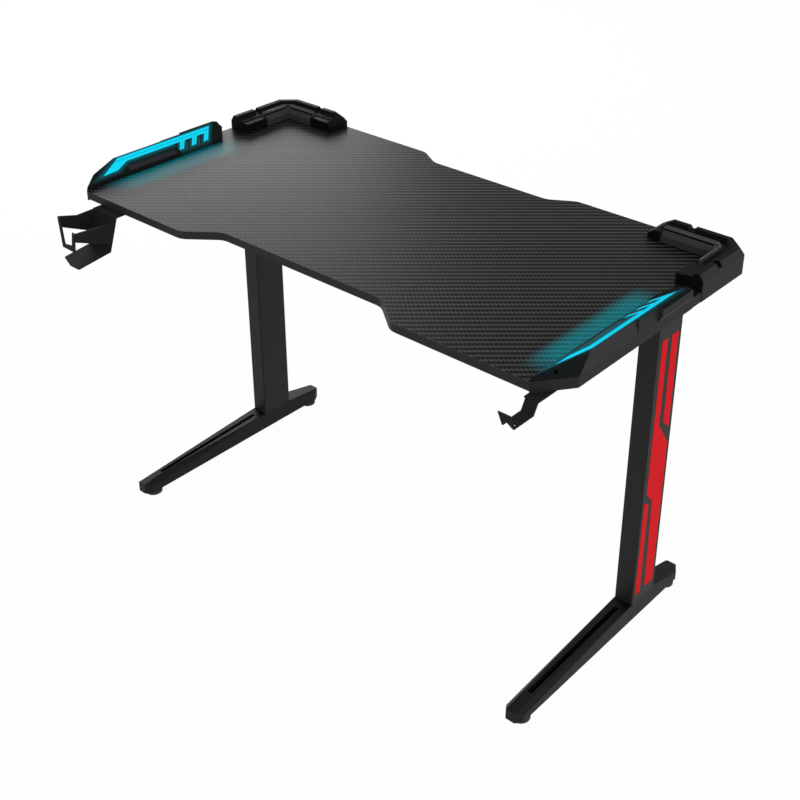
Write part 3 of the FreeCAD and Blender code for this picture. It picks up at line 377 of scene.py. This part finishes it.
def carbon(where, x, y, z):
    weave = twill(x, y)
    sheen = teal_sheen(x, y)
    clear = clear_of_mouldings(x, y)
    to_right = x > 0.0
    fleck = noise(where, fleck_grain)
    lightness = weave * weave * (fleck_least + fleck * fleck_swing)
    printed = lightness.blend(colour(5, 5, 6), colour(88, 88, 90))
    # Painted light: the teal tint and glow of the sheen on the film.
    tinted = (sheen * sheen_cover).blend(printed, colour(2, 34, 38))
    shine = left_shine + to_right * (1.0 - left_shine)
    painted_sheen_glow = sheen * shine * clear.most(to_right) * (gap_glow + weave * crown_glow)
    # Painted shade: grey(10) on the film beside the mouldings.
    return dict(Base_Color=clear.blend(grey(10), tinted),
                Roughness=gap_roughness + weave * crown_roughness,
                Normal=bump(weave, weave_strength, weave_depth),
                Emission_Color=painted_sheen_glow.blend(black, colour(0, 128, 138)))


dress(finish("carbon_sheet", carbon, Emission_Strength=0.85, Specular_IOR_Level=0.022), "carbon_laminate")

# %% [markdown]
# ## Black plastic, powder coat and edging
# The bars and guards are moulded in satin black plastic with a fine spark-eroded grain, and the legs have a
# black powder coat, a little coarser.  Pure black would lose every edge, so each is a dark grey of its own
# level with a trace of variation and a fine bump.  Little mirror light is let in, because the white room
# would wash out faces that are seen at a low angle.

# %% Black finishes
mould_grain, mould_depth, coat_grain = 1500.0, 0.12 * millimetre, 1100.0
moulding = satin("black_moulding", level=56, grain=mould_grain, roughness=0.5, specular=0.04,
                 depth=mould_depth)
# Painted shade: the upright skirt is a darker copy of the moulding.
shaded_skirt_black = satin("moulding_skirt_painted_shade", level=46, grain=mould_grain, roughness=0.5, specular=0.04,
                    depth=mould_depth)
# Painted shade: the faces towards the top are a darker copy of the black.
shaded_inside_black = satin("shaded_inside_black", level=16, grain=mould_grain, roughness=0.6, specular=0.03)
powder = satin("powder_coat", level=32, grain=coat_grain, roughness=0.5, specular=0.13)
accessory = satin("accessory_black", level=36, grain=1300.0, roughness=0.7, specular=0.03)
edging = satin("edging", level=47, grain=700.0, roughness=0.5, specular=0.06, depth=0.06 * millimetre)
pad_plastic = satin("pad_plastic", level=38, grain=900.0, roughness=0.6, specular=0.3)
button_black = satin("button_plastic", level=6, grain=900.0, roughness=0.5, specular=0.0,
                     depth=0.05 * millimetre)
dress(powder, "leg_column", "column_plate", "top_bracket", "cross_beam")
dress(accessory, "cup_holder", "headphone_hook")
dress(edging, "front_edge_band", "rear_edge_band")
dress(pad_plastic, "leveller_pad")
dress(button_black, "light_button")

# %% [markdown]
# ## Guard skin and trim
# Each rear guard has a rim, a sunken part that stays in the dark and is painted dark as shade, and a stepped
# trim along its inner edge.
# The trim's upper step is lighter and a dark joint parts it from the lower one.  Separate materials per
# face could do it, but the lines run round the corner, so they are drawn from the distance to the two outer
# sides: the smaller of the two follows the bend.

# %% Guard skin and trim
rim_wide = 27 * millimetre
trim_break, trim_line = 46 * millimetre, 1.3 * millimetre
step_share = 0.6
trim_roughness, joint_roughness = 0.42, 0.4


def inset_of(x, y):
    """Distance from the nearer outer side of a guard."""
    return (guard_to.x - x.size()).least(guard_to.y - y)


def guard_skin(where, x, y, z):
    satin_skin = grained(grey(51), grey(61), grain=mould_grain, roughness=0.5, depth=mould_depth)
    drawn = satin_skin(where, x, y, z)
    # Painted shade: past the rim the guard is grey(14).
    deep = inset_of(x, y) > rim_wide
    return dict(drawn, Base_Color=deep.blend(drawn["Base_Color"], grey(14)))


def trim(where, x, y, z):
    inset = inset_of(x, y)
    fine = noise(where, mould_grain)
    joint = (inset - trim_break).size() < trim_line
    upper = inset < trim_break
    tone = (upper * step_share + fine * (1.0 - step_share)).blend(colour(58, 58, 59), colour(76, 76, 77))
    return dict(Base_Color=joint.blend(tone, grey(4)), Roughness=trim_roughness + joint * joint_roughness,
                Normal=bump(fine, grain_strength, fine_depth))


guard_black = finish("guard_moulding", guard_skin, Specular_IOR_Level=0.02)
dress(finish("trim_black", trim, Specular_IOR_Level=0.02), "corner_trim")

# %% [markdown]
# ## Feet
# Each foot has the powder coat of the legs and a long slot along its top.  The edge of the slot is pressed
# in, so it lies in shade and looks wider and blacker than the bare cut.  A black lip of painted shade round
# the cut gives that without a new shape.  It is mixed in as a shader of its own, because a coat that is only
# painted black still mirrors the white room.  The tops are painted darker than the sides, as shade under the
# desktop; their tone comes mostly from what they mirror.

# %% Feet
slot_inset, slot_gap, slot_half = 56 * millimetre, 20 * millimetre, 4.7 * millimetre
foot_from, foot_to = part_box("foot_beam_right")
slot_x = (foot_from.x + foot_to.x) / 2
slot_front = foot_from.y + slot_inset
slot_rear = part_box("leg_column_right")[0].y - slot_gap
facing_up = 0.9


# Painted shade: a black lip round the slot.
def shaded_slot_lip(x, y):
    """1 inside a long slot with round ends, 0 elsewhere."""
    off_end = past(y, slot_front + slot_half).most((y - slot_rear + slot_half).most(0.0))
    off_side = x.size() - slot_x
    return (off_side * off_side + off_end * off_end).root() < slot_half


foot_sides = satin("foot_coat", level=33, grain=coat_grain, roughness=0.5, specular=0.07)
# Painted shade: the tops of the feet are a darker copy of the powder coat.
shaded_top_coat = grained(grey(12), grey(18), grain=coat_grain, roughness=0.5, depth=fine_depth)
foot_top = finish("foot_top", shaded_top_coat, hole=shaded_slot_lip, Specular_IOR_Level=0.065)
dress(foot_sides, "foot_beam")
for name in ("foot_beam_left", "foot_beam_right"):
    nodes[name].data.materials.append(foot_top)
    for polygon in nodes[name].data.polygons:
        polygon.material_index = int(polygon.normal.z > facing_up)
print("slot lip:", round((slot_rear - slot_front) / millimetre), "mm long")

# %% [markdown]
# ## Inner slope of a light bar
# The slope round the guide is painted a deeper black than the outside, as shade, and catches the guide's own
# light: a teal halo that fades over a finger's width.  Real light from the guide would need many samples to
# come out smooth, so the halo is drawn from the distance to the outline of the guide.  Below the band lies a
# shallow recess with a lighter floor, and a fine groove between the teeth is drawn as a light line, a
# painted highlight on its edges.  On the right bar, which is seen along its slope, the light reaches further
# down.

# %% Inner slope, in millimetres
halo_reach, halo_more = 14.0, 40.0
tip_along, tip_up, shoulder_along = 50.5, 11.9, 108.0
nose_along, nose_up, low_along = 88.0, 13.7, 121.3
recess_from, recess_to, recess_low, recess_high = 112.0, 237.0, 3.5, 16.0
groove_off, groove_half, groove_low, groove_high = 9.0, 0.8, 3.0, 21.0
groove_clear, groove_first = 8.0, 10.0
slope_grain_share, slope_roughness, slope_swing, slope_strength = 0.5, 0.6, 0.1, 0.2


def inner_slope(where, x, y, z):
    along, up, tooth = on_bar(x, y)
    fine = noise(where, mould_grain)
    lean = (shoulder_along - tip_along) / (guide_top - tip_up)
    climb = ((along - nose_along) / (low_along - nose_along)).most(0.0).least(1.0)
    toothed = along > tooth_start
    low_edge = (nose_up + climb * (guide_low - nose_up)) * (1.0 - toothed) + toothed * tooth_low
    before = (tip_along + (up - tip_up) * lean - along) * (1.0 / math.hypot(1.0, lean))
    behind = along - guide_rear + (guide_top - up) * tooth_lean
    beside = (up - guide_top).most(before).most(behind).most(0.0)
    below = (low_edge - up).most(0.0)
    gaps = toothed * (up < guide_low) * (behind < 0.0)
    between_teeth = (tooth - tooth_wide).most(0.0).least(tooth_pitch - tooth) * gaps
    reach_below = halo_reach + (x > 0.0) * halo_more
    off = (beside.most(between_teeth) / halo_reach).most(below / reach_below)
    near = (1.0 - off).most(0.0)
    dish = along.between(recess_from, recess_to) * up.between(recess_low, recess_high)
    groove_highlight = (tooth - tooth_wide - groove_off).size() < groove_half
    groove_highlight = groove_highlight * up.between(groove_low, groove_high)
    groove_highlight = groove_highlight * (behind < -groove_clear) * (along > tooth_start + groove_first)
    # Painted shade: the slope is a darker copy of the moulding's black.
    tone = (fine * slope_grain_share).blend(colour(24, 27, 27), colour(38, 41, 41))
    tone = dish.blend(tone, colour(54, 50, 57))
    # Painted highlight: a light line along the groove.
    tone = groove_highlight.blend(tone, colour(98, 100, 104))
    return dict(Base_Color=tone, Roughness=slope_roughness + fine * slope_swing,
                Normal=bump(fine, slope_strength, fine_depth),
                Emission_Color=(near * near).blend(black, colour(0, 96, 106)))


shaded_slope_finish = finish("inner_slope", inner_slope, Emission_Strength=1.0, Specular_IOR_Level=0.0)
print("halo reaches", halo_reach, "mm, below the right guide", halo_reach + halo_more, "mm")

# %% [markdown]
# ## Which side of a moulding is which
# A bar and a guard are one moulding each, but their sides look different: the outside is satin, the faces
# towards the top are deeper in the dark, and the upright skirt is darker than the slopes.  Both are painted
# shade: darker copies of the same black.  Cutting the pieces apart would change the model.  Each face gets
# one of three material slots from the way it points.

# %% Sides of bars and guards
upright_lean, sideways, lying, forward = 0.1, 0.25, 0.9, -0.3


def dress_sides(name, side, outside, inside):
    """Outer slopes of a moulding in one finish, the faces towards the top in a darker one and skirts in a
    third, both as painted shade.
    """
    piece = nodes[name]
    piece.data.materials.clear()
    for material in (outside, inside, shaded_skirt_black):
        piece.data.materials.append(material)
    count = 0
    for polygon in piece.data.polygons:
        outward = polygon.normal.x * side
        behind = polygon.normal.y
        upright = abs(polygon.normal.z) < upright_lean
        turned_in = outward < sideways and behind < sideways
        faces_in = turned_in or polygon.normal.z > lying or behind < forward
        bar_end_face = upright and outward > -upright_lean and name.startswith("light_bar")
        faces_in = faces_in and not bar_end_face
        skirt = upright and not faces_in
        polygon.material_index = 2 if skirt else int(faces_in)
        count += faces_in
    print(name, "inner faces:", count)


for side, word in ((1, "right"), (-1, "left")):
    dress_sides("light_bar_housing_" + word, side, moulding, shaded_slope_finish)
    dress_sides("corner_guard_" + word, side, guard_black, shaded_inside_black)

# %% [markdown]
# ## Light guide
# A frosted guide shines an even cyan.  Glass with lamps behind it would be true to life but slow and noisy,
# so the guide glows by itself, with a fine darker line along the middle of the band and of each tooth,
# where the moulded back shows through.

# %% Light guide, in millimetres
line_half, line_front, line_rear = 0.9, 25.0, 4.0
line_share, cloud_tint = 0.75, 0.15
guide_cloud, guide_roughness = 60.0, 0.35


def lit(where, x, y, z):
    along, up, tooth = on_bar(x, y)
    cloud = noise(where, guide_cloud, cloud_detail)
    band_middle = (guide_top + guide_low) / 2
    band = (up - band_middle).size() < line_half
    in_tooth = (tooth - tooth_wide / 2).size() < line_half
    teeth = in_tooth * (up < band_middle) * (along > tooth_start)
    line = band.most(teeth) * along.between(low_along - line_front, guide_rear - line_rear)
    darker = (line * line_share + cloud * cloud_tint).least(1.0)
    return dict(Emission_Color=darker.blend(colour(22, 218, 250), colour(0, 160, 190)),
                Roughness=guide_roughness + cloud * cloud_roughness)


dress(finish("light_guide", lit, Base_Color=colour(6, 40, 46), Emission_Strength=1.0,
             Specular_IOR_Level=0.0), "light_guide")

# %% [markdown]
# ## Red vinyl, zinc, board and circuit strip
# The stripes are matt red vinyl.  Screws and studs are zinc plated, the board is pressed chips, and the
# light strip is a white circuit board.  Most of these are hidden or tiny, so the same grained drawing
# serves for all, with its own colours and grain.

# %% Small finishes
thin_relief, chip_relief = 0.03 * millimetre, 0.3 * millimetre
vinyl = grained(colour(222, 26, 34), colour(238, 34, 42), grain=500.0, roughness=0.55, depth=thin_relief)
plating = grained(grey(150), colour(190, 190, 188), grain=400.0, roughness=0.35, depth=thin_relief)
pressed = grained(colour(150, 120, 85), colour(196, 164, 122), grain=300.0, roughness=0.85,
                  depth=chip_relief)
lacquer = grained(colour(205, 205, 198), colour(225, 225, 220), grain=200.0, roughness=0.5,
                  depth=thin_relief)
dress(finish("red_vinyl", vinyl, Specular_IOR_Level=0.02), "leg_stripes")
dress(finish("zinc_steel", plating, Metallic=1.0), "leveller_stud", "leveller_nuts", "bracket_screws",
      "moulding_screws", "cup_holder_screws", "hook_screws", "column_bolts", "beam_bolts")
dress(finish("chipboard", pressed), "desktop_core")
dress(finish("circuit_board", lacquer), "light_strip", "light_switch")

# %% [markdown]
# ## Soft edges
# No moulded, bent or coated edge is perfectly sharp.  Rounding every edge in the CAD model would make it
# heavy.  A narrow bevel modifier catches the same line of light, and the shape underneath stays as it is.

# %% Soft edges, in millimetres
softness = {"light_bar_housing": 0.8, "corner_guard": 1.0, "corner_trim": 0.8, "foot_beam": 1.2,
            "cup_holder": 0.6}
weld_gap, sharp_from = 0.01, 25.0
for name, piece in nodes.items():
    for start, width in softness.items():
        if name.startswith(start):
            weld = piece.modifiers.new("joined", "WELD")
            weld.merge_threshold = weld_gap * millimetre
            edge = piece.modifiers.new("soft_edges", "BEVEL")
            edge.width = width * millimetre
            edge.segments = 2
            edge.limit_method = "ANGLE"
            edge.angle_limit = math.radians(sharp_from)
            edge.use_clamp_overlap = True
print("softened:", sum(bool(piece.modifiers) for piece in nodes.values()))

# %% [markdown]
# ## Floor
# A catalogue picture has a white ground with a faint shadow.  More light would bleach the desk as well.
# So the floor is pale to light itself and almost white only to a ray that looks at it: the desk gets no
# extra light from it, and it still takes the desk's shadow.

# %% Floor
floor_wide, floor_drop = 60.0, 0.5 * millimetre
floor_level, floor_roughness, floor_specular = 0.8, 0.9, 0.1
paper_share = 0.97


def looked_at(tree):
    """1 for a ray from the camera, also by way of a mirror or through glass, 0 for light itself."""
    seen = add_node(tree, "ShaderNodeLightPath", out="Is Camera Ray")
    mirrored = add_node(tree, "ShaderNodeLightPath", out="Is Glossy Ray")
    through = add_node(tree, "ShaderNodeLightPath", out="Is Transmission Ray")
    return seen.most(mirrored).most(through)


bpy.ops.mesh.primitive_plane_add(size=floor_wide, location=(0.0, 0.0, -floor_drop))
floor = bpy.context.object
floor.name = "floor"
floor_material = bpy.data.materials.new("pale_floor")
floor_material.use_nodes = True
floor_tree = floor_material.node_tree
matt = floor_tree.nodes["Principled BSDF"]
matt.inputs["Roughness"].default_value = floor_roughness
matt.inputs["Specular IOR Level"].default_value = floor_specular
matt.inputs["Base Color"].default_value = (floor_level, floor_level, floor_level, 1.0)
paper = add_node(floor_tree, "ShaderNodeEmission", white, 1.0)
bare = Wire(floor_tree, matt.outputs[0])
mixed = add_node(floor_tree, "ShaderNodeMixShader", looked_at(floor_tree) * paper_share, bare, paper)
floor_tree.links.new(mixed.socket, floor_tree.nodes["Material Output"].inputs["Surface"])
floor.data.materials.append(floor_material)
print("floor looks", paper_share, "white")

# %% [markdown]
# ## Surroundings and lamps
# The room is white to look at and softer as a light.  One panel on the right lifts the red stripes and the
# outer sides.  A second one, low behind the left corner, is what the film and the left foot mirror: it makes
# the top fade from grey at the left to black at the right.

# %% Surroundings and lamps
room_light, room_look = 0.62, 1.0
scene = bpy.context.scene
world = bpy.data.worlds.new("white_room")
scene.world = world
world.use_nodes = True
air = world.node_tree
soft_air = add_node(air, "ShaderNodeBackground", white, room_light)
bright_air = add_node(air, "ShaderNodeBackground", white, room_look)
whole_air = add_node(air, "ShaderNodeMixShader", looked_at(air), soft_air, bright_air)
air.links.new(whole_air.socket, air.nodes["World Output"].inputs["Surface"])


def lamp(name, place, target, size, power):
    data = bpy.data.lights.new(name, "AREA")
    data.shape = "RECTANGLE"
    data.size, data.size_y = size
    data.energy = power
    item = bpy.data.objects.new(name, data)
    scene.collection.objects.link(item)
    item.location = place
    item.rotation_euler = (Vector(target) - Vector(place)).to_track_quat("-Z", "Y").to_euler()
    print(name, power, "W")


lamp("right_panel", place=(3.2, -0.6, 2.2), target=(0.0, 0.0, 0.5), size=(2.0, 2.0), power=21.0)
lamp("sheen_panel", place=(-3.75, 2.4, 2.0), target=(-0.4, 0.1, 0.75), size=(2.4, 1.2), power=120.0)

# %% [markdown]
# ## Camera
# The camera could be set by eye.  Here it was solved from the straight edges of the desk in the picture, so
# that the render lies on the photograph edge by edge: place, turn, tilt, focal length and centre.

# %% Camera
eye = Vector((1.52574, -1.69638 + middle_y, 1.80255))
turn, tilt = math.radians(41.21), math.radians(-28.03)
focal_pixels, picture_pixels = 1324.10, 800.0
centre_across, centre_down = 408.45, 294.92
far_limit = 200.0
camera_data = bpy.data.cameras.new("camera")
camera = bpy.data.objects.new("camera", camera_data)
scene.collection.objects.link(camera)
camera.location = eye
camera.rotation_euler = (math.pi / 2 + tilt, 0.0, turn)
camera_data.sensor_width = 36.0
camera_data.lens = focal_pixels / picture_pixels * camera_data.sensor_width
camera_data.shift_x = 0.5 - centre_across / picture_pixels
camera_data.shift_y = centre_down / picture_pixels - 0.5
camera_data.clip_end = far_limit
scene.camera = camera
scene.view_settings.view_transform = "Standard"
print("lens:", round(camera_data.lens, 2), "mm")
